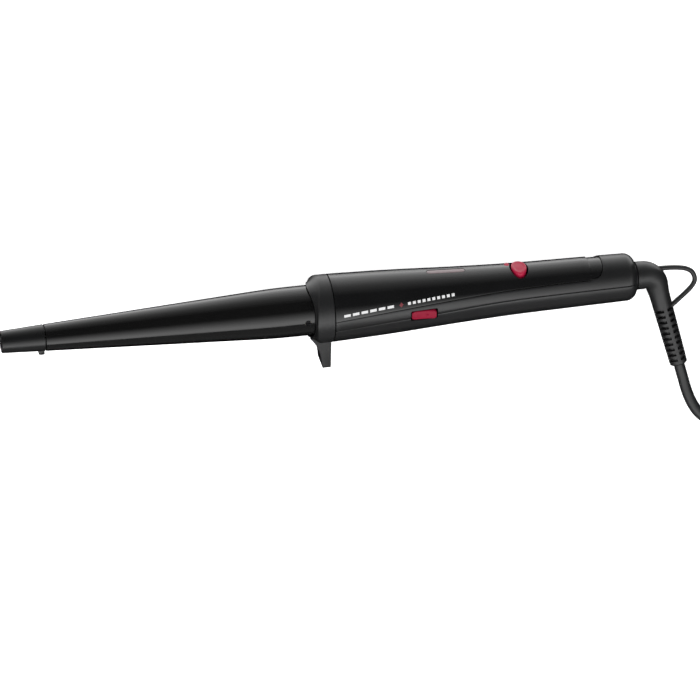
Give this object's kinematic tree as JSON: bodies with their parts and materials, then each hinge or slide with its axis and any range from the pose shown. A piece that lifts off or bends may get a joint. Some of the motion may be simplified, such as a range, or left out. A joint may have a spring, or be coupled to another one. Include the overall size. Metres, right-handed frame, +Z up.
{
  "type": "curling wand",
  "caption": "Conical hair curling wand with cool tip, heated barrel, stand collar with fin, two-shell handle with button and rocker, and a swivelling mains lead with plug.",
  "frame": {"origin": "centre of the wand's footprint on the table, at table height, with the free cord and plug left out", "axes": "+X from the cool tip towards the cord, +Y towards the power button's side, +Z up; the wand lies on its side on the collar, the fin's corner and the end of the handle"},
  "size_m": [0.4724, 0.1031, 0.0343],
  "materials": {
    "barrel_ceramic": "glossy black ceramic coating",
    "tip_plastic": "satin black heat-resistant plastic",
    "collar_plastic": "matt black moulded plastic",
    "shell_plastic": "semi-gloss black moulded plastic",
    "cover_gloss": "gloss black lacquered plastic",
    "red_plastic": "crimson moulded plastic",
    "lens_plastic": "smoked red translucent plastic",
    "soft_rubber": "matt black flexible plastic",
    "cord_rubber": "satin black cable sheath",
    "plug_plastic": "black moulded plug",
    "inner_nylon": "heat-resistant nylon",
    "inner_black": "black component plastic",
    "heater_aluminium": "extruded aluminium",
    "heater_film": "amber insulating film",
    "wire_silicone": "white silicone wire",
    "contact_brass": "bright brass",
    "screw_steel": "zinc-plated steel",
    "board_laminate": "green circuit board",
    "pin_nickel": "nickel-plated brass"
  },
  "bodies": {
    "cord_side": {"swivel_spindle": "collar_plastic", "contact_ring_live": "contact_brass", "contact_ring_neutral": "contact_brass", "strain_relief": "soft_rubber", "hanging_loop": "soft_rubber", "cord": "cord_rubber", "cord_hank": "cord_rubber", "cord_tie": "plug_plastic", "cord_tail": "cord_rubber", "plug_relief": "plug_plastic", "plug_body": "plug_plastic", "plug_sleeve_live": "plug_plastic", "plug_sleeve_neutral": "plug_plastic", "plug_pin_live": "pin_nickel", "plug_pin_neutral": "pin_nickel"},
    "wand": {"cool_tip": "tip_plastic", "barrel": "barrel_ceramic", "barrel_bush": "inner_nylon", "barrel_screw": "screw_steel", "heater_block_upper": "heater_aluminium", "heater_block_lower": "heater_aluminium", "ptc_element": "inner_nylon", "heater_insulation": "heater_film", "thermistor": "inner_nylon", "thermal_fuse": "screw_steel", "lead_live": "wire_silicone", "lead_neutral": "wire_silicone", "stand_collar": "collar_plastic", "upper_shell": "shell_plastic", "lower_shell": "shell_plastic", "top_cover": "cover_gloss", "shell_screw_front": "screw_steel", "shell_screw_rear": "screw_steel", "button_switch": "inner_black", "rocker_housing": "inner_black", "indicator_lens": "lens_plastic", "indicator_led": "inner_nylon", "circuit_board": "board_laminate", "triac": "inner_black", "capacitor": "inner_black", "swivel_housing": "inner_nylon", "brush_live": "contact_brass", "brush_neutral": "contact_brass"},
    "power_button": {"power_button": "red_plastic"},
    "rocker_key": {"rocker_key": "red_plastic"}
  },
  "joints": [
    {"name": "cord_swivel", "type": "hinge", "parent": "cord_side", "child": "wand", "pos_m": [-0.0105, 0.01713, 0.01701], "axis": [-0.9994, 0, 0.0335], "continuous": true},
    {"name": "button_press", "type": "slide", "parent": "wand", "child": "power_button", "axis": [-0.0157, -0.8829, -0.4692], "range_m": [0, 0.0008], "stiffness_N_per_m": 800, "springref_m": -0.0005},
    {"name": "rocker_tip", "type": "hinge", "parent": "wand", "child": "rocker_key", "pos_m": [0.0348, 0.01219, 0.02666], "axis": [0.0126, 0.9272, 0.3744], "range_deg": [0, 8]}
  ]
}
